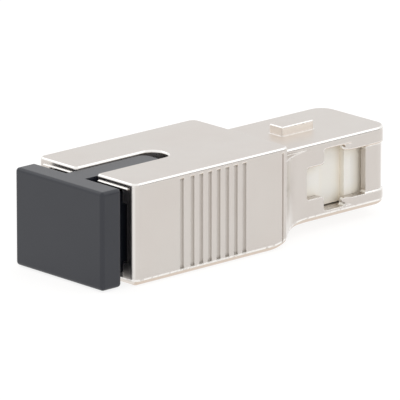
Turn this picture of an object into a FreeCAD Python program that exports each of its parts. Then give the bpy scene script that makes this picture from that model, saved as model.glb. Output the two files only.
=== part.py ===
import FreeCAD
import Part

import math
import os

# Plug-style fibre optic attenuator with square push-pull connectors, in millimetres.
# X runs along the optical axis from the port to the plug, and Z is up.
# The origin is on that axis, at the port's face.

# Connector interface, shared by the plug and the port
plug_width = 9.0
plug_height = 7.4
plug_in_port_clearance = 0.05
latch_to_tip = 6.7
contact_depth = 13.5
ferrule_diameter = 2.499

# Housing
body_width = 12.85
body_height = 9.4
body_length = 18.8
plug_length = 14.3
plug_corner_radius = 1.6
plug_side_wall = 0.8
plug_flat_wall = 0.75
side_sweep_radius = 7.0
side_sweep_lead = 0.5
side_sweep_corner_radius = 0.65
side_sweep_top_drop = 0.5
shoulder_line_setback = 0.92
shoulder_line_width = 0.24
shoulder_line_depth = 0.22
belly_sweep_lead = 2.2
belly_sweep_run = 4.9
belly_convex_radius = 4.0
rear_corner_radius = 0.8
mouth_corner_radius = 0.6
mouth_lead_in = 0.3
mouth_lip_length = 11.2
mouth_lip_height = 0.16
mouth_lip_reach = 0.16
mouth_lip_chamfer = 0.08
top_edge_radius = 0.25
bottom_edge_radius = 0.62
hook_flex_room = 0.45
ear_side_room = 0.15
web_setback = 0.7
web_thickness = 1.8
neck_in_web_clearance = 0.08

# Keyway in the port's roof, and the key on the plug
keyway_width = 2.7
keyway_length = 9.25
keyway_corner_radius = 1.2
keyway_mouth_radius = 0.35
key_width = 1.75
key_height = 0.88
key_length = 3.92
key_setback = 6.2
key_edge_radius = 0.15

# Finger grooves on both sides of the body
groove_count = 8
groove_pitch = 1.045
groove_width = 0.55
groove_floor_width = 0.35
groove_depth = 0.22
first_groove = 5.63
second_groove = 6.9
groove_end_margin = 0.5

# Window in each side of the plug, where the hooks of a mating port drop in
window_slot_height = 3.0
window_slot_length = 2.14
window_wide_height = 5.8
window_wide_length = 2.69
window_front_height = 4.5
window_corner_radius = 0.3
cam_setback = 0.66
cam_ramp_length = 0.8
cam_ramp_depth = 0.45
front_bar_length = 2.95
channel_depth = 0.15
channel_edge_radius = 0.13

# Plug frame inside the plug
frame_clearance = 0.1
frame_front_setback = 0.5
frame_waist = 6.0
frame_recess_length = 3.1
frame_crest_length = 0.8
frame_nose_length = 0.9
frame_corner_radius = 0.4
frame_bore_diameter = 4.9
frame_web = 2.4
neck_wall = 0.45
release_travel = 1.5
stop_gap = 0.03

# Latch: two hooks and the tube of the alignment sleeve, in one moulding
base_thickness = 1.8
base_clearance = 0.15
hook_thickness = 0.6
hook_height = 2.9
hook_clearance = 0.05
hook_reach = 0.85
hook_flat = 1.2
hook_ramp_length = 2.4
hook_tip_thickness = 0.4
ear_height = 5.2
ear_length = 2.2
ear_setback = 0.6
tube_wall = 0.5
tube_lip = 0.45
tube_lip_diameter = 2.9
tube_tail = 0.3
tube_in_neck_clearance = 0.02

# Optical stub, and the split sleeve that lines it up with the mating ferrule
sleeve_length = 10.4
sleeve_wall = 0.35
sleeve_slit = 0.45
sleeve_in_tube_clearance = 0.1
sleeve_on_ferrule_clearance = 0.002
sleeve_end_play = 0.05
ferrule_projection = 1.7
ferrule_tip_diameter = 1.5
ferrule_taper_length = 0.55
ferrule_in_frame_clearance = 0.1
flange_diameter = 4.2
flange_length = 2.4
flange_notch_width = 0.8
flange_notch_depth = 0.45
flange_notch_length = 1.2
flange_end_play = 0.05
fibre_diameter = 0.125
fibre_clearance = 0.0005

# Dust cap
cap_width = 11.6
cap_thickness = 2.32
cap_gap = 0.96
cap_top_drop = 0.28
cap_floor_gap = 0.12
cap_edge_radius = 0.35
cap_clearance = 0.1
cap_block_depth = 2.1
cap_skirt_depth = 9.6
cap_skirt_wall = 0.8
cap_face_wall = 1.1
cap_tongue_depth = 8.0
cap_tongue_corner_radius = 0.9

# Places along the axis
plug_front = body_length + plug_length
ferrule_tip = plug_front + ferrule_projection
web_front = body_length - web_setback
web_rear = web_front - web_thickness
base_front = web_rear - stop_gap - release_travel
base_rear = base_front - base_thickness
sleeve_mouth = contact_depth - sleeve_length / 2
sleeve_rear = contact_depth + sleeve_length / 2
tube_mouth = sleeve_mouth - sleeve_end_play - tube_lip
tube_rear = sleeve_rear + tube_tail
flange_rear = tube_rear + flange_end_play
flange_front = flange_rear + flange_length
frame_seat = flange_front + flange_end_play
frame_collar = web_front + stop_gap
frame_front = plug_front - frame_front_setback
frame_shoulder = ferrule_tip - latch_to_tip
frame_recess = frame_shoulder - frame_recess_length
window_wide_front = frame_shoulder - cam_setback
window_wide_rear = window_wide_front - window_wide_length
window_rear = window_wide_rear - window_slot_length
window_front = plug_front - front_bar_length
hook_face = contact_depth - latch_to_tip
cap_rear = -cap_gap
cap_front = cap_rear - cap_thickness

# Sizes that fitting pieces share
port_width = plug_width + 2 * plug_in_port_clearance
port_height = plug_height + 2 * plug_in_port_clearance
bore_width = plug_width - 2 * plug_side_wall
bore_height = plug_height - 2 * plug_flat_wall
frame_width = bore_width - 2 * frame_clearance
frame_height = bore_height - 2 * frame_clearance
hook_inner = plug_width / 2 - channel_depth + hook_clearance
hook_outer = hook_inner + hook_thickness
ferrule_radius = ferrule_diameter / 2
sleeve_radius = ferrule_radius + sleeve_wall
tube_bore_radius = sleeve_radius + sleeve_in_tube_clearance
tube_radius = tube_bore_radius + tube_wall
neck_bore_radius = tube_radius + tube_in_neck_clearance
neck_radius = neck_bore_radius + neck_wall
web_hole_radius = neck_radius + neck_in_web_clearance
fibre_bore_radius = fibre_diameter / 2 + fibre_clearance
body_top = body_height / 2
plug_top = plug_height / 2
side_step = (body_width - plug_width) / 2
belly_step = (body_height - plug_height) / 2
beyond = 1.0  # how far a cutting tool reaches past the surface that it opens


def on_plane(plane, u, v):
    """A 2-D point of the plan (XY), the side view (XZ) or the section (YZ)."""
    places = {"XY": (u, v, 0), "XZ": (u, 0, v), "YZ": (0, u, v)}
    return FreeCAD.Vector(*places[plane])


def outline(plane, *steps):
    """A flat face through the steps: each a point, or (point on an arc, the arc's end)."""
    here = on_plane(plane, *steps[0])
    edges = []
    for step in steps[1:] + steps[:1]:
        if isinstance(step[0], tuple):
            through, there = (on_plane(plane, *place) for place in step)
            edges.append(Part.Arc(here, through, there).toShape())
        else:
            there = on_plane(plane, *step)
            edges.append(Part.LineSegment(here, there).toShape())
        here = there
    return Part.Face(Part.Wire(edges))


def rounded(plane, *corners):
    """A flat face with corners given as (u, v, radius)."""
    steps = []
    for index, (u, v, radius) in enumerate(corners):
        corner = FreeCAD.Vector(u, v)
        before = FreeCAD.Vector(*corners[index - 1][:2]) - corner
        after = FreeCAD.Vector(*corners[(index + 1) % len(corners)][:2]) - corner
        if radius == 0:
            steps.append((u, v))
            continue
        half_angle = before.getAngle(after) / 2
        inward = (before.normalize() + after.normalize()).normalize()
        tangent = radius / math.tan(half_angle)
        start = corner + before * tangent
        through = corner + inward * (radius / math.sin(half_angle) - radius)
        end = corner + after * tangent
        steps.append((start.x, start.y))
        steps.append(((through.x, through.y), (end.x, end.y)))
    return outline(plane, *steps)


def prism(face, low, high):
    """The face pushed along its own normal axis, from low to high."""
    normal = face.normalAt(0, 0)
    axis = FreeCAD.Vector(abs(normal.x), abs(normal.y), abs(normal.z))
    placed = face.translated(axis * low)
    return placed.extrude(axis * (high - low))


def block(x, y, z):
    """A box between three (low, high) pairs."""
    corner = FreeCAD.Vector(x[0], y[0], z[0])
    return Part.makeBox(x[1] - x[0], y[1] - y[0], z[1] - z[0], corner)


def bar(x, width, height):
    """A box along the optical axis, centred on it."""
    return block(x, (-width / 2, width / 2), (-height / 2, height / 2))


def rod(radius, low, high):
    """A round bar along the optical axis."""
    start = FreeCAD.Vector(low, 0, 0)
    return Part.makeCylinder(radius, high - low, start, FreeCAD.Vector(1, 0, 0))


def cone(low_radius, high_radius, low, high):
    """A taper along the optical axis."""
    start = FreeCAD.Vector(low, 0, 0)
    return Part.makeCone(low_radius, high_radius, high - low, start, FreeCAD.Vector(1, 0, 0))


def both_sides(shape):
    """The shape and its mirror image across the plane Y = 0."""
    return [shape, shape.mirror(FreeCAD.Vector(0, 0, 0), FreeCAD.Vector(0, 1, 0))]


def round_edges(shape, radius, wanted):
    """Fillet the edges whose centre passes the test."""
    return shape.makeFillet(radius, [edge for edge in shape.Edges if wanted(edge.CenterOfMass)])


def same(a, b):
    return abs(a - b) < 1e-4


def half_plan():
    """One half of the housing from above: mouth corner, body, side sweep and plug."""
    half_body = body_width / 2
    half_plug = plug_width / 2
    sweep_run = math.sqrt(2 * side_sweep_radius * side_step - side_step**2)
    sweep_end = body_length - side_sweep_lead + sweep_run
    sweep_centre = half_plug + side_sweep_radius
    corner_y = half_body - side_sweep_corner_radius
    centre_gap = side_sweep_radius + side_sweep_corner_radius
    turn = math.asin((sweep_centre - corner_y) / centre_gap)
    corner_x = sweep_end - centre_gap * math.cos(turn)

    def on_corner(angle):
        return (
            corner_x + side_sweep_corner_radius * math.cos(angle),
            corner_y + side_sweep_corner_radius * math.sin(angle),
        )

    def on_sweep(angle):
        return (
            sweep_end - side_sweep_radius * math.cos(angle),
            sweep_centre - side_sweep_radius * math.sin(angle),
        )

    upright = math.pi / 2
    mouth = mouth_corner_radius
    mouth_inset = mouth * (1 - math.sqrt(0.5))
    nose = plug_corner_radius
    nose_inset = nose * (1 - math.sqrt(0.5))
    return outline(
        "XY",
        (0, 0),
        (0, half_body - mouth),
        ((mouth_inset, half_body - mouth_inset), (mouth, half_body)),
        (corner_x, half_body),
        (on_corner((upright + turn) / 2), on_corner(turn)),
        (on_sweep((upright + turn) / 2), (sweep_end, half_plug)),
        (plug_front - nose, half_plug),
        ((plug_front - nose_inset, half_plug - nose_inset), (plug_front, half_plug - nose)),
        (plug_front, 0),
    )


def half_lid_plan():
    """The same above the side sweep, where the rear stands square and the keyway is open."""
    return rounded(
        "XY",
        (keyway_length, 0, 0),
        (keyway_length, keyway_width / 2, keyway_corner_radius),
        (0, keyway_width / 2, keyway_mouth_radius),
        (0, body_width / 2, mouth_corner_radius),
        (body_length, body_width / 2, rear_corner_radius),
        (body_length, plug_width / 2, 0),
        (plug_front, plug_width / 2, plug_corner_radius),
        (plug_front, 0, 0),
    )


def side_view():
    """The housing from the side: a step on top, and an S-shaped sweep under the belly."""
    start = body_length - belly_sweep_lead
    end = start + belly_sweep_run
    both_radii = (belly_sweep_run**2 + belly_step**2) / (2 * belly_step)
    concave_radius = both_radii - belly_convex_radius
    turn = math.asin(belly_sweep_run / both_radii)

    def on_convex(angle):
        return (
            start + belly_convex_radius * math.sin(angle),
            -body_top + belly_convex_radius * (1 - math.cos(angle)),
        )

    def on_concave(angle):
        return (
            end - concave_radius * math.sin(angle),
            -plug_top - concave_radius * (1 - math.cos(angle)),
        )

    return outline(
        "XZ",
        (0, -body_top),
        (start, -body_top),
        (on_convex(turn / 2), on_convex(turn)),
        (on_concave(turn / 2), (end, -plug_top)),
        (plug_front, -plug_top),
        (plug_front, plug_top),
        (body_length, plug_top),
        (body_length, body_top),
        (0, body_top),
    )


def casting():
    """The housing's outer form, with its edges rounded and the plug's key on top."""
    sweep_top = plug_top - side_sweep_top_drop
    half = prism(half_plan(), -body_height, sweep_top)
    half = half.fuse(prism(half_lid_plan(), sweep_top, body_height))
    tall = half.fuse(both_sides(half)[1])
    form = tall.common(prism(side_view(), -body_width, body_width)).removeSplitter()

    def under_edge(centre):
        under = centre.z < -plug_top or same(centre.z, -plug_top)
        at_an_end = same(centre.x, 0) or same(centre.x, plug_front)
        return under and (at_an_end or not same(centre.y, 0))

    def top_edge(centre):
        on_plug = same(centre.z, plug_top) and not same(centre.x, body_length)
        return same(centre.z, body_top) or on_plug

    form = round_edges(form, bottom_edge_radius, under_edge)
    form = round_edges(form, top_edge_radius, top_edge)
    return form.fuse(plug_key())


def plug_key():
    """The key on the plug's roof, with its upper edges eased."""
    rear = plug_front - key_setback - key_length
    key_root = plug_top - plug_flat_wall / 2
    crest = plug_top + key_height
    key = block((rear, rear + key_length), (-key_width / 2, key_width / 2), (key_root, crest))
    return round_edges(key, key_edge_radius, lambda centre: centre.z > plug_top)


def mouth_lip():
    """The thin raised lip along the roof above the port's mouth, open at the keyway."""
    reach = (-mouth_lip_reach, mouth_lip_reach)
    base = port_height / 2 + mouth_lead_in
    crest = base + mouth_lip_height
    lip = block(reach, (-mouth_lip_length / 2, mouth_lip_length / 2), (base, crest))
    in_front = [edge for edge in lip.Edges if same(edge.CenterOfMass.x, -mouth_lip_reach)]
    lip = lip.makeChamfer(mouth_lip_chamfer, [edge for edge in in_front if same(edge.CenterOfMass.z, crest)])
    opening = keyway_width / 2 + keyway_mouth_radius
    return lip.cut(block(reach, (-opening, opening), (base, crest)))


def port_cavity():
    """The port: the plug's section, room for the hooks to flex and the lead-in."""
    reach = (-beyond, web_rear)
    relief_width = 2 * (hook_outer + hook_flex_room)
    section = bar(reach, port_width, port_height)
    relief = bar(reach, relief_width, ear_height + 2 * ear_side_room)
    wide = [port_width / 2 + mouth_lead_in, port_height / 2 + mouth_lead_in]
    narrow = [port_width / 2, port_height / 2]
    wires = []
    for x, (y, z) in ((-beyond, wide), (0, wide), (mouth_lead_in, narrow)):
        corners = [(x, -y, -z), (x, y, -z), (x, y, z), (x, -y, z), (x, -y, -z)]
        wires.append(Part.makePolygon([FreeCAD.Vector(*corner) for corner in corners]))
    lead_in = Part.makeLoft(wires, True, True)
    return [section, relief, lead_in]


def plug_cavity():
    """The plug's bore for the frame, and the round hole in the web behind it."""
    bore = bar((web_front, plug_front + beyond), bore_width, bore_height)
    hole = rod(web_hole_radius, web_rear - beyond, web_front + beyond)
    return [bore, hole]


def finger_grooves():
    """A row of upright grooves in one side, from edge rounding to edge rounding."""
    surface = body_width / 2
    floor = surface - groove_depth
    low = -body_top + bottom_edge_radius
    high = body_top - groove_end_margin
    grooves = []
    places = [second_groove + index * groove_pitch for index in range(groove_count - 1)]
    for x in [first_groove] + places:
        section = outline(
            "XY",
            (x - groove_floor_width / 2, floor),
            (x + groove_floor_width / 2, floor),
            (x + groove_width / 2, surface),
            (x + groove_width / 2, surface + beyond),
            (x - groove_width / 2, surface + beyond),
            (x - groove_width / 2, surface),
        )
        grooves.append(prism(section, low, high))
    return grooves


def shoulder_line():
    """A fine upright line that ends the flat of one side."""
    surface = body_width / 2
    middle = body_length - shoulder_line_setback
    rear = middle - shoulder_line_width / 2
    front = middle + shoulder_line_width / 2
    section = outline(
        "XY",
        (rear, surface),
        (middle, surface - shoulder_line_depth),
        (front, surface),
        (front, surface + beyond),
        (rear, surface + beyond),
    )
    return prism(section, -body_height, body_top - groove_end_margin)


def plug_windows():
    """The openings that the hooks drop into, cut through both sides of the plug."""
    slot = window_slot_height / 2
    wide = window_wide_height / 2
    front = window_front_height / 2
    lower = [
        (window_rear, -slot),
        (window_wide_rear, -slot),
        (window_wide_rear, -wide),
        (window_wide_front, -wide),
        (window_wide_front, -front),
        (window_front, -front),
    ]
    upper = [(x, -z) for x, z in reversed(lower)]
    corners = [(x, z, window_corner_radius) for x, z in lower + upper]
    return prism(rounded("XZ", *corners), -plug_width, plug_width)


def cam_ramp():
    """The slope on the rear end of each lip, which lifts a hook when the housing is pulled."""
    surface = plug_width / 2
    ramp = outline(
        "XY",
        (window_wide_front, surface - cam_ramp_depth),
        (window_wide_front + cam_ramp_length, surface),
        (window_wide_front, surface),
    )
    return prism(ramp, -window_wide_height / 2, window_wide_height / 2)


def front_channel():
    """The shallow channel between the lips, which runs round the plug's front corner."""
    half = plug_width / 2
    inner_nose = plug_corner_radius - channel_depth
    floor = rounded(
        "XY",
        (0, 0, 0),
        (plug_front - channel_depth, 0, 0),
        (plug_front - channel_depth, half - channel_depth, inner_nose),
        (0, half - channel_depth, 0),
    )
    half_channel = window_front_height / 2
    reach = (window_wide_front, plug_front + beyond)
    tool = block(reach, (0, half + beyond), (-half_channel, half_channel))
    tool = tool.cut(prism(floor, -plug_height, plug_height))

    def floor_edge(centre):
        inside = centre.x < plug_front - channel_depth / 2 and centre.y < half - channel_depth / 2
        return same(abs(centre.z), half_channel) and inside

    return round_edges(tool, channel_edge_radius, floor_edge)


def housing():
    """The nickel-plated zinc die casting: port at one end, plug at the other."""
    cuts = port_cavity() + plug_cavity() + [plug_windows()]
    for tool in finger_grooves() + [shoulder_line(), cam_ramp(), front_channel()]:
        cuts += both_sides(tool)
    return casting().fuse(mouth_lip()).cut(cuts)


def plug_frame():
    """The moulded frame that the hooks of a mating port hold by its two shoulders."""
    half = frame_width / 2
    waist = frame_waist / 2
    crest_end = frame_shoulder + frame_crest_length
    ramp_end = frame_front - frame_nose_length
    one_side = [
        (frame_collar, half),
        (frame_recess, half),
        (frame_recess, waist),
        (frame_shoulder, waist),
        (frame_shoulder, half),
        (crest_end, half),
        (ramp_end, waist),
        (frame_front, waist),
    ]
    other_side = [(x, -y) for x, y in reversed(one_side)]
    frame = prism(outline("XY", *one_side, *other_side), -frame_height / 2, frame_height / 2)
    corners = [(-half, -1), (half, -1), (half, 1), (-half, 1)]
    section = rounded("YZ", *((y, z * frame_height / 2, frame_corner_radius) for y, z in corners))
    frame = frame.common(prism(section, frame_collar, frame_front))
    frame = frame.fuse(rod(neck_radius, base_front, frame_collar))
    chamber = rod(neck_bore_radius, base_front - beyond, frame_seat)
    passage = rod(ferrule_radius + ferrule_in_frame_clearance, base_front, frame_front)
    front_bore = rod(frame_bore_diameter / 2, frame_seat + frame_web, frame_front + beyond)
    return frame.cut([chamber, passage, front_bore])


def hook():
    """One spring arm with its tooth, its lead-in slope and the ears that the cams lift."""
    tooth = hook_inner - hook_reach
    flat_end = hook_face - hook_flat
    tip = flat_end - hook_ramp_length
    arm = outline(
        "XY",
        (base_front, hook_outer),
        (base_front, hook_inner),
        (hook_face, hook_inner),
        (hook_face, tooth),
        (flat_end, tooth),
        (tip, hook_outer - hook_tip_thickness),
        (tip, hook_outer),
    )
    ear_front = hook_face - ear_setback
    ears = block(
        (ear_front - ear_length, ear_front), (hook_inner, hook_outer), (-ear_height / 2, ear_height / 2)
    )
    return prism(arm, -hook_height / 2, hook_height / 2).fuse(ears)


def hook_latch():
    """The moulded latch in the port: base, two hooks and the tube round the sleeve."""
    base_width = port_width - 2 * base_clearance
    base_height = port_height - 2 * base_clearance
    solid = bar((base_rear, base_front), base_width, base_height)
    solid = solid.fuse(both_sides(hook()) + [rod(tube_radius, tube_mouth, tube_rear)])
    lip_radius = tube_lip_diameter / 2
    chamber = rod(tube_bore_radius, tube_mouth + tube_lip, tube_rear + beyond)
    entry = rod(lip_radius, tube_mouth - beyond, tube_rear)
    return solid.cut([chamber, entry]).removeSplitter()


def alignment_sleeve():
    """The split ceramic sleeve, slit along its underside."""
    bore = ferrule_radius + sleeve_on_ferrule_clearance
    sleeve = rod(sleeve_radius, sleeve_mouth, sleeve_rear).cut(rod(bore, sleeve_mouth, sleeve_rear))
    slit = block((sleeve_mouth, sleeve_rear), (-sleeve_slit / 2, sleeve_slit / 2), (-sleeve_radius, 0))
    return sleeve.cut(slit)


def ferrule():
    """The ceramic stub that carries the fibre, tapered at both polished ends."""
    tip_radius = ferrule_tip_diameter / 2
    rear_end = contact_depth + ferrule_taper_length
    front_end = ferrule_tip - ferrule_taper_length
    stub = rod(ferrule_radius, rear_end, front_end)
    rear_taper = cone(tip_radius, ferrule_radius, contact_depth, rear_end)
    front_taper = cone(ferrule_radius, tip_radius, front_end, ferrule_tip)
    return stub.fuse([rear_taper, front_taper]).cut(rod(fibre_bore_radius, contact_depth, ferrule_tip))


def ferrule_flange():
    """The metal collar pressed on the stub, notched so that it can't turn."""
    collar = rod(flange_diameter / 2, flange_rear, flange_front)
    collar = collar.cut(rod(ferrule_radius, flange_rear, flange_front))
    floor = flange_diameter / 2 - flange_notch_depth
    notch = block(
        (flange_front - flange_notch_length, flange_front),
        (-flange_notch_width / 2, flange_notch_width / 2),
        (floor, flange_diameter),
    )
    for angle in (0, 90, 180, 270):
        turned = notch.rotated(FreeCAD.Vector(0, 0, 0), FreeCAD.Vector(1, 0, 0), angle)
        collar = collar.cut(turned)
    return collar


def attenuating_fibre():
    """The doped fibre in the middle of the stub."""
    return rod(fibre_diameter / 2, contact_depth, ferrule_tip)


def dust_cap():
    """The moulded cap: a thick face, a skirt that plugs the port and a tongue in the keyway."""
    top = body_top - cap_top_drop
    bottom = -body_top + cap_floor_gap
    face = block((cap_front, cap_rear), (-cap_width / 2, cap_width / 2), (bottom, top))
    face = face.makeFillet(cap_edge_radius, face.Edges)
    skirt_width = port_width - 2 * cap_clearance
    skirt_height = port_height - 2 * cap_clearance
    inner_width = skirt_width - 2 * cap_skirt_wall
    inner_height = skirt_height - 2 * cap_skirt_wall
    skirt = bar((cap_rear - cap_edge_radius, cap_skirt_depth), skirt_width, skirt_height)
    half_tongue = keyway_width / 2 - cap_clearance
    tongue = rounded(
        "XY",
        (cap_rear - cap_edge_radius, -half_tongue, 0),
        (cap_tongue_depth, -half_tongue, cap_tongue_corner_radius),
        (cap_tongue_depth, half_tongue, cap_tongue_corner_radius),
        (cap_rear - cap_edge_radius, half_tongue, 0),
    )
    tongue = prism(tongue, skirt_height / 2 - cap_skirt_wall / 2, top)
    hollow = bar((cap_front + cap_face_wall, cap_skirt_depth), inner_width, inner_height)
    hook_room = bar((cap_block_depth, cap_skirt_depth), body_width, inner_height)
    return face.fuse([skirt, tongue]).cut([hollow, hook_room]).removeSplitter()


def write(pieces):
    """One file for each piece, named after its function."""
    os.makedirs("parts", exist_ok=True)
    for piece in pieces:
        piece().exportStep(f"parts/{piece.__name__}.step")


write(
    [
        housing,
        dust_cap,
        plug_frame,
        hook_latch,
        alignment_sleeve,
        ferrule,
        ferrule_flange,
        attenuating_fibre,
    ]
)
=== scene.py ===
import math

import bpy
from mathutils import Matrix, Vector


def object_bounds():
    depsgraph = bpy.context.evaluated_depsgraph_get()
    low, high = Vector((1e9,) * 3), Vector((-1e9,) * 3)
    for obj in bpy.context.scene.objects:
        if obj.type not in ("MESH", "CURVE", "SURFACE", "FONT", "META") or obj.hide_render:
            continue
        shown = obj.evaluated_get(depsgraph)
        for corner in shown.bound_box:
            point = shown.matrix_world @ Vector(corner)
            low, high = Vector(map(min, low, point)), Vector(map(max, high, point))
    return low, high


bl_info = {
    "name": "Fibre optic attenuator",
    "version": (1, 0, 0),
    "blender": (4, 5, 0),
    "location": "3D View > Sidebar > Attenuator",
    "description": "Finishes the pieces of a plug-style fibre optic attenuator and sets its stage",
    "category": "Material",
}

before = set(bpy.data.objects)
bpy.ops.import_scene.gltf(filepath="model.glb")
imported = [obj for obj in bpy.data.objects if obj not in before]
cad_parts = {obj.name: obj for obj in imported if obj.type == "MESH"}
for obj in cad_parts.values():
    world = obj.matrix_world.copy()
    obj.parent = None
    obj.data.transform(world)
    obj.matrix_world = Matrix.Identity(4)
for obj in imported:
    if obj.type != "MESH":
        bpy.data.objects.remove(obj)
cad_low, cad_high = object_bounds()

MM = 0.001

# Rays that each bevel and each occlusion node casts
RAYS = 8

# Width of one band of a wave texture at scale 1, roughly
WAVE_BAND = 0.3

# How two masks join: where both hold, or where either does
BOTH, EITHER = "MULTIPLY", "MAXIMUM"

# Each lamp's name, the direction that it shines from, its width and height, and its brightness
LAMPS = (
    ("softbox_right", (0.65, -0.27, 0.71), 200 * MM, 200 * MM, 0.45),
    ("softbox_back", (-0.28, 0.71, 0.65), 200 * MM, 200 * MM, 0.45),
    ("strip_front", (0.65, -0.71, 0.33), 200 * MM, 80 * MM, 0.4),
)

# The direction in which the black flag stands from the part
FLAG_TOWARDS = (0.65, -0.74, 0.0)


def linear(hex_colour):
    """An sRGB hex value as linear red, green and blue."""
    channels = [int(hex_colour[i:i + 2], 16) / 255 for i in (1, 3, 5)]
    return tuple(c / 12.92 if c <= 0.04045 else ((c + 0.055) / 1.055) ** 2.4 for c in channels)


def opaque(colour):
    """The colour as a shader socket takes it, with alpha."""
    return (*colour, 1.0)


def toned(colour, red, green, blue):
    """The colour with its channels scaled, as a shader socket takes it."""
    return (colour[0] * red, colour[1] * green, colour[2] * blue, 1.0)


def colour_property(name, description, hex_colour):
    return bpy.props.FloatVectorProperty(
        name=name, description=description, subtype="COLOR", size=3, min=0, max=1,
        default=linear(hex_colour),
    )


def length_property(name, description, millimetres):
    return bpy.props.FloatProperty(
        name=name, description=description, subtype="DISTANCE", unit="LENGTH", min=0, precision=6,
        default=millimetres * MM,
    )


def share_property(name, description, share):
    return bpy.props.FloatProperty(
        name=name, description=description, subtype="FACTOR", min=0, max=1, default=share,
    )


def angle_property(name, description, degrees):
    return bpy.props.FloatProperty(
        name=name, description=description, subtype="ANGLE", default=math.radians(degrees),
    )


class AttenuatorFinish(bpy.types.PropertyGroup):
    nickel: colour_property("Nickel", "Colour that the plating reflects", "#d6d2cd")
    nickel_warm: colour_property("Nickel, warmer", "Colour of the plating's warmer patches", "#d3cbc5")
    # Painted highlight along the edges
    nickel_painted_highlight: colour_property("Nickel, edges", "Colour of edges rubbed bright before plating", "#f6f4f1")
    # Painted shade in the recesses
    nickel_painted_shade: colour_property("Nickel, recesses", "Colour of the thin plating in recesses", "#a9a39b")
    # Painted light on the key's upright sides
    nickel_key_painted_light: colour_property("Nickel, key", "Colour of the key's sides, rubbed by mating ports", "#fff8f0")
    # Painted warm reflection on the undersides
    nickel_underside_painted_reflection: colour_property("Nickel, undersides", "Colour of the plating on the undersides", "#d6c7b9")
    nickel_edge: length_property("Edge rounding", "Radius that the plating leaves on sharp cast edges", 0.1)
    # Width of the painted highlight bands along the edges
    nickel_highlight_width: length_property("Rubbed edges", "Width of the bright bands along rubbed edges", 0.18)
    # Reach of the occlusion that lays painted shade in recesses and keeps painted highlights out of them
    nickel_recess: length_property("Recess depth", "Depth at which the plating turns thin", 0.35)
    # Length of the breaks in the painted highlight under the edges
    nickel_highlight_noise: length_property("Edge wear", "Length of the unevenness along rubbed edges", 0.5)
    nickel_peel: length_property("Orange peel", "Width of the casting's faint waves under the plating", 1.4)
    nickel_patch: length_property("Warmer patches", "Width of the plating's warmer patches", 7.0)
    # Behind this place no painted shade falls on the plug
    plug_from: length_property("Plug plating", "Place along the part behind which no plating is thin", 17.6)
    # The key's painted light starts behind and above these places
    key_from: length_property("Bright key, rear", "Place along the part behind which the key starts", 19.0)
    key_above: length_property("Bright key, height", "Height above the axis at which the key starts", 3.75)
    cap: colour_property("Cap", "Colour of the cap's plastic", "#252831")
    cap_grain: length_property("Cap grain", "Width of the mould's fine spark texture", 0.12)
    cap_flow: length_property("Cap flow marks", "Width of the plastic's faint flow marks", 3.0)
    moulding: colour_property("White mouldings", "Colour of the plug frame and the latch", "#f8f7f3")
    # Painted warm glow in the plastic's recesses
    moulding_painted_glow: colour_property("White mouldings, recesses", "Glow of the plastic in recesses", "#fcf2de")
    moulding_recess: length_property("Moulding recess", "Depth at which the plastic looks warmer", 1.2)
    moulding_flow: length_property("Moulding flow marks", "Width of the plastic's faint flow marks", 2.2)
    zirconia: colour_property("Zirconia", "Colour of the ferrule and the sleeve", "#f0ece2")
    zirconia_cloud: length_property("Zirconia clouds", "Width of the ceramic's warmer clouds", 1.5)
    grinding_pitch: length_property("Grinding pitch", "Distance between the grinding rings", 0.6)
    steel: colour_property("Flange steel", "Colour that the flange reflects", "#cdcac6")
    turning_pitch: length_property("Turning pitch", "Distance between the tool marks on the flange", 0.12)
    glass: colour_property("Fibre", "Tint of the glass fibre", "#f4f7f8")
    glass_haze: length_property("Fibre haze", "Width of the polishing marks on the fibre's ends", 0.05)


class AttenuatorStage(bpy.types.PropertyGroup):
    floor_size: length_property("Floor", "Side of the square floor", 4000.0)
    floor_gap: length_property("Floor gap", "Play between base and floor, against flicker", 0.01)
    floor_fibre: length_property("Paper fibres", "Length of the fibres in the paper floor", 2.0)
    floor: colour_property("Floor colour", "Colour of the floor", "#f4f1ee")
    shadow: share_property("Shadow", "Share of the floor's colour that takes the part's shadow", 0.25)
    glow: share_property("Floor glow", "White that the floor shows even in shadow", 0.84)
    backdrop: colour_property("Backdrop", "Colour of the room behind the part", "#ffffff")
    room_light: share_property("Room light", "Strength of the room as a lamp", 0.96)
    lamp_distance: length_property("Lamps", "From the part's middle to each lamp", 400.0)
    flag_distance: length_property("Flag distance", "From the part's middle to the black flag", 300.0)
    flag_width: length_property("Flag width", "Width of the black flag", 220.0)
    flag_height: length_property("Flag height", "Height of the black flag above the floor", 45.0)
    flag_nap: length_property("Flag nap", "Width of the tufts in the black felt", 1.5)
    azimuth: angle_property("Azimuth", "Camera's turn round the part", -42.6)
    elevation: angle_property("Elevation", "Camera's height above the horizon", 15.9)
    distance: length_property("Distance", "From the camera to the point it looks at", 600.0)
    target: bpy.props.FloatVectorProperty(
        name="Target", description="Point that the camera looks at", subtype="XYZ", unit="LENGTH", size=3,
        default=(14.46 * MM, 0.85 * MM, -0.98 * MM),
    )
    lens: bpy.props.FloatProperty(
        name="Lens", description="Focal length on a 36 mm sensor, in millimetres", subtype="DISTANCE_CAMERA",
        default=600.3,
    )


def add(tree, kind, sockets=None, **settings):
    """Add a node with its settings, and fill its sockets with values or with other nodes' outputs."""
    node = tree.nodes.new(kind)
    for name, value in settings.items():
        setattr(node, name, value)
    for name, value in (sockets or {}).items():
        if isinstance(value, bpy.types.NodeSocket):
            tree.links.new(value, node.inputs[name])
        else:
            node.inputs[name].default_value = value
    return node


def start_material(name):
    """A new material: itself, its nodes, its surface shader and the place on the part in metres."""
    material = bpy.data.materials.new(name)
    material.use_nodes = True
    tree = material.node_tree
    surface = tree.nodes["Principled BSDF"]
    place = add(tree, "ShaderNodeTexCoord").outputs["Object"]
    return material, tree, surface, place


def connect(tree, surface, links):
    """Link other nodes' outputs to the surface shader's sockets, by name."""
    for name, socket in links.items():
        tree.links.new(socket, surface.inputs[name])


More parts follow.
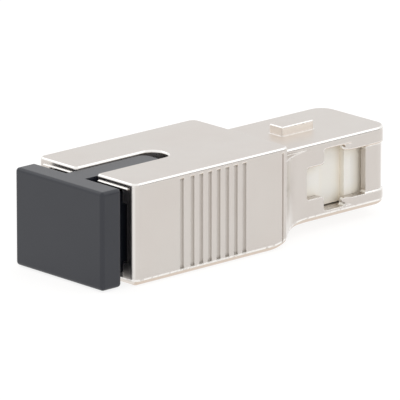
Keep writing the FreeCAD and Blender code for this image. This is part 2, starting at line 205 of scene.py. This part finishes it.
def nickel_masks(tree, finish, place):
    """Masks from 0 to 1, by name: where painted shade stays off, where painted highlights fall, where the
    surface looks down or turns an edge.
    """
    highlight_bevel = add(tree, "ShaderNodeBevel", {"Radius": finish.nickel_highlight_width}, samples=RAYS)
    facing = add(tree, "ShaderNodeSeparateXYZ", {"Vector": highlight_bevel.outputs["Normal"]})
    up, rear = facing.outputs["Z"], facing.outputs["X"]
    tilt = add(tree, "ShaderNodeMath", {0: up}, operation="ABSOLUTE").outputs[0]
    recess = add(
        tree, "ShaderNodeAmbientOcclusion", {"Distance": finish.nickel_recess}, samples=RAYS, only_local=True,
    )
    openness = recess.outputs["AO"]
    highlight_noise = add(tree, "ShaderNodeTexNoise", {"Vector": place, "Scale": 1 / finish.nickel_highlight_noise, "Detail": 2.0})
    spot = add(tree, "ShaderNodeSeparateXYZ", {"Vector": place})
    masks = {}

    # Places on the part: the plug, and what lies behind and above the start of the key
    for name, axis, start in (
        ("plug", "X", finish.plug_from),
        ("behind", "X", finish.key_from),
        ("above", "Z", finish.key_above),
    ):
        past = add(tree, "ShaderNodeMath", {0: spot.outputs[axis], 1: start}, operation="GREATER_THAN")
        masks[name] = past.outputs[0]

    # Soft steps: the value that is read, where the mask starts, where it is full and how strong it is there
    for name, value, start, full, strength in (
        # How far the surface looks up
        ("looks_up", up, 0.25, 0.4, 1.0),
        ("short_of_level", up, 0.97, 0.9, 1.0),
        ("looks_down", up, -0.02, -0.08, 1.0),
        ("upper_half", up, -0.32, -0.2, 1.0),
        ("underside", up, -0.22, -0.36, 1.0),
        ("upright", up, 0.4, 0.3, 1.0),
        ("level", up, 0.5, 0.8, 1.0),
        # How far it looks to the rear, where the plug is
        ("looks_forward", rear, -0.6, -0.78, 0.5),
        ("short_of_front", rear, -0.99, -0.93, 1.0),
        ("looks_back", rear, 0.38, 0.5, 0.6),
        ("short_of_rear", rear, 0.95, 0.75, 1.0),
        # How far it leans from the upright, up or down
        ("off_upright", tilt, 0.02, 0.06, 1.0),
        ("off_level", tilt, 0.99, 0.96, 1.0),
        # How openly it lies
        ("plated", openness, 0.5, 0.92, 1.0),
        ("convex", openness, 0.45, 0.65, 1.0),
        ("clear", openness, 0.8, 0.95, 1.0),
        ("sunken", openness, 0.85, 0.6, 1.0),
        # Where the painted highlight under the edges breaks off
        ("highlight_unbroken", highlight_noise.outputs["Fac"], 0.3, 0.45, 1.0),
    ):
        step = add(tree, "ShaderNodeMapRange", {
            "Value": value, "From Min": start, "From Max": full, "To Max": strength,
        })
        masks[name] = step.outputs[0]

    # A painted highlight falls on edges that look up, on the upper half of those that look down, on the
    # upright edges of the port's mouth, on the swept sides behind the grooves, and on sills in a recess. On
    # sills and on the plug no painted shade falls.
    for name, first, how, second in (
        ("crown", "looks_up", BOTH, "short_of_level"),
        ("brow", "looks_down", BOTH, "upper_half"),
        ("brow", "brow", BOTH, "highlight_unbroken"),
        ("mouth", "looks_forward", BOTH, "short_of_front"),
        ("sweep", "looks_back", BOTH, "short_of_rear"),
        ("side", "mouth", EITHER, "sweep"),
        ("side", "side", BOTH, "clear"),
        ("bright", "crown", EITHER, "brow"),
        ("bright", "bright", EITHER, "side"),
        ("bright", "bright", BOTH, "convex"),
        ("sill", "level", BOTH, "sunken"),
        ("bright", "bright", EITHER, "sill"),
        ("key", "behind", BOTH, "above"),
        ("key", "key", BOTH, "upright"),
        ("plated", "plated", EITHER, "sill"),
        ("plated", "plated", EITHER, "plug"),
        ("turn", "off_upright", BOTH, "off_level"),
    ):
        joined = add(tree, "ShaderNodeMath", {0: masks[first], 1: masks[second]}, operation=how)
        masks[name] = joined.outputs[0]
    return masks


def nickel_plated_zinc(finish):
    # Bright nickel over a zinc die casting: it mirrors the room softly, since the plating follows the
    # casting's faint orange peel. Edges carry painted highlights, pale lines that are uneven along the
    # underside. Recesses in the body are darkened with painted shade, undersides take a warmer painted
    # reflection, and the key's upright sides take a paler painted light.
    material, tree, surface, place = start_material("nickel_plated_zinc_casting")
    peel = add(tree, "ShaderNodeTexNoise", {"Vector": place, "Scale": 1 / finish.nickel_peel, "Detail": 1.0})
    patch = add(tree, "ShaderNodeTexNoise", {
        "Vector": place, "Scale": 1 / finish.nickel_patch, "Detail": 2.0,
    })
    masks = nickel_masks(tree, finish, place)
    colour = opaque(finish.nickel)
    # Random warmer patches, then a painted reflection on the undersides, painted light on the key's sides and
    # painted highlights on the edges
    for share, layer in (
        (patch.outputs["Fac"], finish.nickel_warm),
        (masks["underside"], finish.nickel_underside_painted_reflection),
        (masks["key"], finish.nickel_key_painted_light),
        (masks["bright"], finish.nickel_painted_highlight),
    ):
        mixed = add(tree, "ShaderNodeMix", {0: share, 6: colour, 7: opaque(layer)}, data_type="RGBA")
        colour = mixed.outputs[2]
    # Painted shade darkens the recesses
    colour = add(
        tree, "ShaderNodeMix",
        {0: masks["plated"], 6: opaque(finish.nickel_painted_shade), 7: colour}, data_type="RGBA",
    )

    # Satin on the flats, and polished where an edge turns
    satin = add(tree, "ShaderNodeMapRange", {"Value": peel.outputs["Fac"], "To Min": 0.28, "To Max": 0.35})
    gloss = add(
        tree, "ShaderNodeMapRange", {"Value": masks["turn"], "To Min": satin.outputs[0], "To Max": 0.12},
    )
    rounded = add(tree, "ShaderNodeBevel", {"Radius": finish.nickel_edge}, samples=RAYS)
    relief = add(tree, "ShaderNodeBump", {
        "Height": peel.outputs["Fac"], "Normal": rounded.outputs["Normal"],
        "Strength": 0.12, "Distance": 0.01 * MM,
    })
    surface.inputs["Metallic"].default_value = 1.0
    connect(tree, surface, {
        "Base Color": colour.outputs[2], "Roughness": gloss.outputs["Result"],
        "Normal": relief.outputs["Normal"],
    })
    return material


def moulded_abs(finish):
    # Charcoal ABS from a spark-eroded mould: even and nearly matt, with a fine grain that greys the
    # colour where light skims over it.
    material, tree, surface, place = start_material("charcoal_abs_moulded")
    grain = add(tree, "ShaderNodeTexNoise", {"Vector": place, "Scale": 1 / finish.cap_grain, "Detail": 2.0})
    flow = add(tree, "ShaderNodeTexNoise", {"Vector": place, "Scale": 1 / finish.cap_flow, "Detail": 2.0})
    shade = toned(finish.cap, red=0.86, green=0.86, blue=0.86)
    colour = add(
        tree, "ShaderNodeMix",
        {0: flow.outputs["Fac"], 6: shade, 7: opaque(finish.cap)}, data_type="RGBA",
    )
    gloss = add(tree, "ShaderNodeMapRange", {"Value": grain.outputs["Fac"], "To Min": 0.28, "To Max": 0.38})
    relief = add(tree, "ShaderNodeBump", {
        "Height": grain.outputs["Fac"], "Strength": 0.25, "Distance": 0.006 * MM,
    })
    surface.inputs["IOR"].default_value = 1.53
    connect(tree, surface, {
        "Base Color": colour.outputs[2], "Roughness": gloss.outputs["Result"],
        "Normal": relief.outputs["Normal"],
    })
    return material


def moulded_pbt(finish):
    # White PBT: opaque and semi-matt, with faint flow marks, and a painted warm glow in recesses, which
    # stands in for light that has passed through the cream plastic several times.
    material, tree, surface, place = start_material("white_pbt_moulded")
    flow = add(tree, "ShaderNodeTexNoise", {
        "Vector": place, "Scale": 1 / finish.moulding_flow, "Detail": 3.0,
    })
    depth = add(tree, "ShaderNodeAmbientOcclusion", {"Distance": finish.moulding_recess}, samples=RAYS)
    cream = toned(finish.moulding, red=0.98, green=0.97, blue=0.94)
    colour = add(
        tree, "ShaderNodeMix",
        {0: flow.outputs["Fac"], 6: opaque(finish.moulding), 7: cream}, data_type="RGBA",
    )
    # Painted warm glow where the plastic lies in a recess
    colour = add(
        tree, "ShaderNodeMix",
        {0: depth.outputs["AO"], 6: opaque(finish.moulding_painted_glow), 7: colour.outputs[2]}, data_type="RGBA",
    )
    gloss = add(tree, "ShaderNodeMapRange", {"Value": flow.outputs["Fac"], "To Min": 0.35, "To Max": 0.5})
    relief = add(tree, "ShaderNodeBump", {
        "Height": flow.outputs["Fac"], "Strength": 0.1, "Distance": 0.02 * MM,
    })
    surface.inputs["IOR"].default_value = 1.55
    connect(tree, surface, {
        "Base Color": colour.outputs[2], "Roughness": gloss.outputs["Result"],
        "Normal": relief.outputs["Normal"],
    })
    return material


def ground_zirconia(finish):
    # Ground and lapped zirconia: dense ivory-white ceramic with a wet gloss and faint grinding rings, which
    # are drawn far coarser than the real ones, since those are too fine to show.
    material, tree, surface, place = start_material("zirconia_ground")
    rings = add(
        tree, "ShaderNodeTexWave",
        {"Vector": place, "Scale": WAVE_BAND / finish.grinding_pitch, "Distortion": 1.5, "Detail": 2.0},
        bands_direction="X",
    )
    cloud = add(tree, "ShaderNodeTexNoise", {
        "Vector": place, "Scale": 1 / finish.zirconia_cloud, "Detail": 2.0,
    })
    ivory = toned(finish.zirconia, red=0.96, green=0.94, blue=0.9)
    colour = add(
        tree, "ShaderNodeMix",
        {0: cloud.outputs["Fac"], 6: opaque(finish.zirconia), 7: ivory}, data_type="RGBA",
    )
    gloss = add(tree, "ShaderNodeMapRange", {"Value": rings.outputs["Fac"], "To Min": 0.1, "To Max": 0.2})
    relief = add(tree, "ShaderNodeBump", {
        "Height": rings.outputs["Fac"], "Strength": 0.06, "Distance": 0.003 * MM,
    })
    surface.inputs["IOR"].default_value = 2.15
    connect(tree, surface, {
        "Base Color": colour.outputs[2], "Roughness": gloss.outputs["Result"],
        "Normal": relief.outputs["Normal"],
    })
    return material


def turned_steel(finish):
    # Turned stainless steel: bright, with the tool's rings across the collar. Real marks are about
    # 0.03 mm apart, which is too fine to show, so they are drawn coarser.
    material, tree, surface, place = start_material("stainless_steel_turned")
    rings = add(
        tree, "ShaderNodeTexWave",
        {"Vector": place, "Scale": WAVE_BAND / finish.turning_pitch, "Distortion": 0.6, "Detail": 1.0},
        bands_direction="X",
    )
    shade = toned(finish.steel, red=0.85, green=0.85, blue=0.85)
    colour = add(
        tree, "ShaderNodeMix",
        {0: rings.outputs["Fac"], 6: shade, 7: opaque(finish.steel)}, data_type="RGBA",
    )
    gloss = add(tree, "ShaderNodeMapRange", {"Value": rings.outputs["Fac"], "To Min": 0.22, "To Max": 0.36})
    relief = add(tree, "ShaderNodeBump", {
        "Height": rings.outputs["Fac"], "Strength": 0.3, "Distance": 0.004 * MM,
    })
    surface.inputs["Metallic"].default_value = 1.0
    connect(tree, surface, {
        "Base Color": colour.outputs[2], "Roughness": gloss.outputs["Result"],
        "Normal": relief.outputs["Normal"],
    })
    return material


def polished_fibre_glass(finish):
    # Doped silica fibre with polished ends: clear, with a faint change of gloss from the polishing.
    material, tree, surface, place = start_material("silica_fibre_polished")
    haze = add(tree, "ShaderNodeTexNoise", {"Vector": place, "Scale": 1 / finish.glass_haze, "Detail": 2.0})
    gloss = add(tree, "ShaderNodeMapRange", {"Value": haze.outputs["Fac"], "To Min": 0.02, "To Max": 0.08})
    surface.inputs["Base Color"].default_value = opaque(finish.glass)
    surface.inputs["IOR"].default_value = 1.458
    surface.inputs["Transmission Weight"].default_value = 1.0
    connect(tree, surface, {"Roughness": gloss.outputs["Result"]})
    return material


def dress(material, *nodes):
    """Give the named nodes the material in place of the plain one that they were packed with."""
    for name in nodes:
        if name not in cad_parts:
            raise RuntimeError(f"the part has no piece named {name}")
        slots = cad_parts[name].data.materials
        slots.clear()
        slots.append(material)


class ATTENUATOR_OT_housing(bpy.types.Operator):
    """Plate the housing with bright nickel"""

    bl_idname = "attenuator.housing"
    bl_label = "Housing"

    def execute(self, context):
        dress(nickel_plated_zinc(context.scene.attenuator_finish), "housing")
        return {"FINISHED"}


class ATTENUATOR_OT_dust_cap(bpy.types.Operator):
    """Finish the dust cap in charcoal plastic"""

    bl_idname = "attenuator.dust_cap"
    bl_label = "Dust cap"

    def execute(self, context):
        dress(moulded_abs(context.scene.attenuator_finish), "dust_cap")
        return {"FINISHED"}


class ATTENUATOR_OT_mouldings(bpy.types.Operator):
    """Finish the plug frame and the latch in white plastic"""

    bl_idname = "attenuator.mouldings"
    bl_label = "Plug frame and latch"

    def execute(self, context):
        dress(moulded_pbt(context.scene.attenuator_finish), "plug_frame", "hook_latch")
        return {"FINISHED"}


class ATTENUATOR_OT_optics(bpy.types.Operator):
    """Finish the ferrule, its flange, the split sleeve and the fibre"""

    bl_idname = "attenuator.optics"
    bl_label = "Ferrule, sleeve and fibre"

    def execute(self, context):
        finish = context.scene.attenuator_finish
        dress(ground_zirconia(finish), "ferrule", "alignment_sleeve")
        dress(turned_steel(finish), "ferrule_flange")
        dress(polished_fibre_glass(finish), "attenuating_fibre")
        return {"FINISHED"}


def seen_directly(tree):
    """1 for camera, glossy and transmission rays, 0 for the rays that light the part."""
    path = add(tree, "ShaderNodeLightPath")
    mirrored = add(
        tree, "ShaderNodeMath", {0: path.outputs["Is Glossy Ray"], 1: path.outputs["Is Transmission Ray"]},
        operation=EITHER,
    )
    seen = add(
        tree, "ShaderNodeMath", {0: path.outputs["Is Camera Ray"], 1: mirrored.outputs[0]}, operation=EITHER,
    )
    return seen.outputs[0]


def white_sweep(stage):
    # Matt white paper: pale, with fibres just too fine to show, and bright enough to burn out in the
    # picture apart from the part's shadow.
    material, tree, surface, place = start_material("white_paper_sweep")
    fibres = add(tree, "ShaderNodeTexNoise", {"Vector": place, "Scale": 1 / stage.floor_fibre, "Detail": 2.0})
    shade = toned(stage.floor, red=0.98, green=0.98, blue=0.98)
    colour = add(
        tree, "ShaderNodeMix",
        {0: fibres.outputs["Fac"], 6: shade, 7: opaque(stage.floor)}, data_type="RGBA",
    )
    surface.inputs["Roughness"].default_value = 0.9
    surface.inputs["Specular IOR Level"].default_value = 0.1
    connect(tree, surface, {"Base Color": colour.outputs[2]})
    shadowed = add(tree, "ShaderNodeBsdfDiffuse", {
        "Color": toned(stage.floor, red=stage.shadow, green=stage.shadow, blue=stage.shadow),
    })
    glow = add(tree, "ShaderNodeEmission", {"Color": opaque(stage.backdrop), "Strength": stage.glow})
    bright = add(tree, "ShaderNodeAddShader", {0: shadowed.outputs[0], 1: glow.outputs[0]})
    choice = add(
        tree, "ShaderNodeMixShader",
        {0: seen_directly(tree), 1: surface.outputs[0], 2: bright.outputs[0]},
    )
    tree.links.new(choice.outputs[0], tree.nodes["Material Output"].inputs["Surface"])
    return material


def lay_floor(stage):
    """A square of white paper under the part."""
    half = stage.floor_size / 2
    level = cad_low.z - stage.floor_gap
    corners = [(x * half, y * half, level) for x, y in ((-1, -1), (1, -1), (1, 1), (-1, 1))]
    mesh = bpy.data.meshes.new("floor")
    mesh.from_pydata(corners, [], [(0, 1, 2, 3)])
    mesh.materials.append(white_sweep(stage))
    floor = bpy.data.objects.new("floor", mesh)
    bpy.context.scene.collection.objects.link(floor)


def white_room(stage):
    """A room of even white light, white behind the part and a little dimmer as a lamp."""
    world = bpy.data.worlds.new("white_room")
    world.use_nodes = True
    tree = world.node_tree
    background = tree.nodes["Background"]
    strength = add(tree, "ShaderNodeMapRange", {
        "Value": seen_directly(tree), "To Min": stage.room_light, "To Max": 1.0,
    })
    background.inputs["Color"].default_value = opaque(stage.backdrop)
    tree.links.new(strength.outputs["Result"], background.inputs["Strength"])
    return world


def softbox(stage, name, direction, width, height, brightness):
    """A rectangular lamp that faces the part from a direction, with its brightness set as radiance."""
    data = bpy.data.lights.new(name, "AREA")
    data.shape = "RECTANGLE"
    data.size = width
    data.size_y = height
    data.energy = brightness * math.pi * width * height
    lamp = bpy.data.objects.new(name, data)
    towards = Vector(direction).normalized()
    lamp.location = (cad_low + cad_high) / 2 + towards * stage.lamp_distance
    lamp.rotation_euler = towards.to_track_quat("Z", "Y").to_euler()
    bpy.context.scene.collection.objects.link(lamp)


def black_felt(stage):
    # Black wool felt: dead matt, with a nap that takes the light unevenly.
    material, tree, surface, place = start_material("black_felt_flag")
    nap = add(tree, "ShaderNodeTexNoise", {"Vector": place, "Scale": 1 / stage.flag_nap, "Detail": 2.0})
    shade = add(
        tree, "ShaderNodeMix",
        {0: nap.outputs["Fac"], 6: opaque(linear("#0c0c0c")), 7: opaque(linear("#181818"))}, data_type="RGBA",
    )
    surface.inputs["Roughness"].default_value = 1.0
    connect(tree, surface, {"Base Color": shade.outputs[2]})
    return material


def black_flag(stage):
    """A black card out of the picture, which draws a thin dark line along the rounded edges."""
    towards = Vector(FLAG_TOWARDS).normalized()
    middle = Vector(((cad_low.x + cad_high.x) / 2, 0, cad_low.z)) + towards * stage.flag_distance
    half = Vector((-towards.y, towards.x, 0)) * stage.flag_width / 2
    rise = Vector((0, 0, stage.flag_height))
    corners = [middle - half, middle + half, middle + half + rise, middle - half + rise]
    mesh = bpy.data.meshes.new("black_flag")
    mesh.from_pydata(corners, [], [(0, 1, 2, 3)])
    mesh.materials.append(black_felt(stage))
    flag = bpy.data.objects.new("black_flag", mesh)
    flag.visible_camera = False
    flag.visible_diffuse = False
    flag.visible_shadow = False
    bpy.context.scene.collection.objects.link(flag)


def aim_camera(stage):
    """A camera turned round the target, at the stage's distance."""
    data = bpy.data.cameras.new("camera")
    data.sensor_width = 36.0
    data.lens = stage.lens
    data.clip_start = 0.01
    data.clip_end = 10.0
    camera = bpy.data.objects.new("camera", data)
    turn, rise = stage.azimuth, stage.elevation
    back = Vector((math.sin(turn) * math.cos(rise), -math.cos(turn) * math.cos(rise), math.sin(rise)))
    right = Vector((math.cos(turn), math.sin(turn), 0))
    up = back.cross(right)
    place = Vector(stage.target) + back * stage.distance
    camera.matrix_world = Matrix.Translation(place) @ Matrix((right, up, back)).transposed().to_4x4()
    bpy.context.scene.collection.objects.link(camera)
    bpy.context.scene.camera = camera


class ATTENUATOR_OT_stage(bpy.types.Operator):
    """Set the floor, the light and the camera"""

    bl_idname = "attenuator.stage"
    bl_label = "Stage"

    def execute(self, context):
        stage = context.scene.attenuator_stage
        lay_floor(stage)
        context.scene.world = white_room(stage)
        for lamp in LAMPS:
            softbox(stage, *lamp)
        black_flag(stage)
        aim_camera(stage)
        context.scene.view_settings.view_transform = "Standard"
        return {"FINISHED"}


class ATTENUATOR_PT_sidebar(bpy.types.Panel):
    bl_idname = "ATTENUATOR_PT_sidebar"
    bl_label = "Fibre optic attenuator"
    bl_space_type = "VIEW_3D"
    bl_region_type = "UI"
    bl_category = "Attenuator"

    def draw(self, context):
        layout = self.layout
        for group in (context.scene.attenuator_finish, context.scene.attenuator_stage):
            for name in group.__annotations__:
                layout.prop(group, name)
        for operator in OPERATORS:
            layout.operator(operator.bl_idname)


GROUPS = (AttenuatorFinish, AttenuatorStage)
OPERATORS = (
    ATTENUATOR_OT_housing,
    ATTENUATOR_OT_dust_cap,
    ATTENUATOR_OT_mouldings,
    ATTENUATOR_OT_optics,
    ATTENUATOR_OT_stage,
)
CLASSES = GROUPS + OPERATORS + (ATTENUATOR_PT_sidebar,)


def register():
    for cls in CLASSES:
        bpy.utils.register_class(cls)
    bpy.types.Scene.attenuator_finish = bpy.props.PointerProperty(type=AttenuatorFinish)
    bpy.types.Scene.attenuator_stage = bpy.props.PointerProperty(type=AttenuatorStage)


def unregister():
    del bpy.types.Scene.attenuator_stage
    del bpy.types.Scene.attenuator_finish
    for cls in reversed(CLASSES):
        bpy.utils.unregister_class(cls)


def main():
    register()
    bpy.ops.attenuator.housing()
    bpy.ops.attenuator.dust_cap()
    bpy.ops.attenuator.mouldings()
    bpy.ops.attenuator.optics()
    bpy.ops.attenuator.stage()


if __name__ == "__main__":
    main()
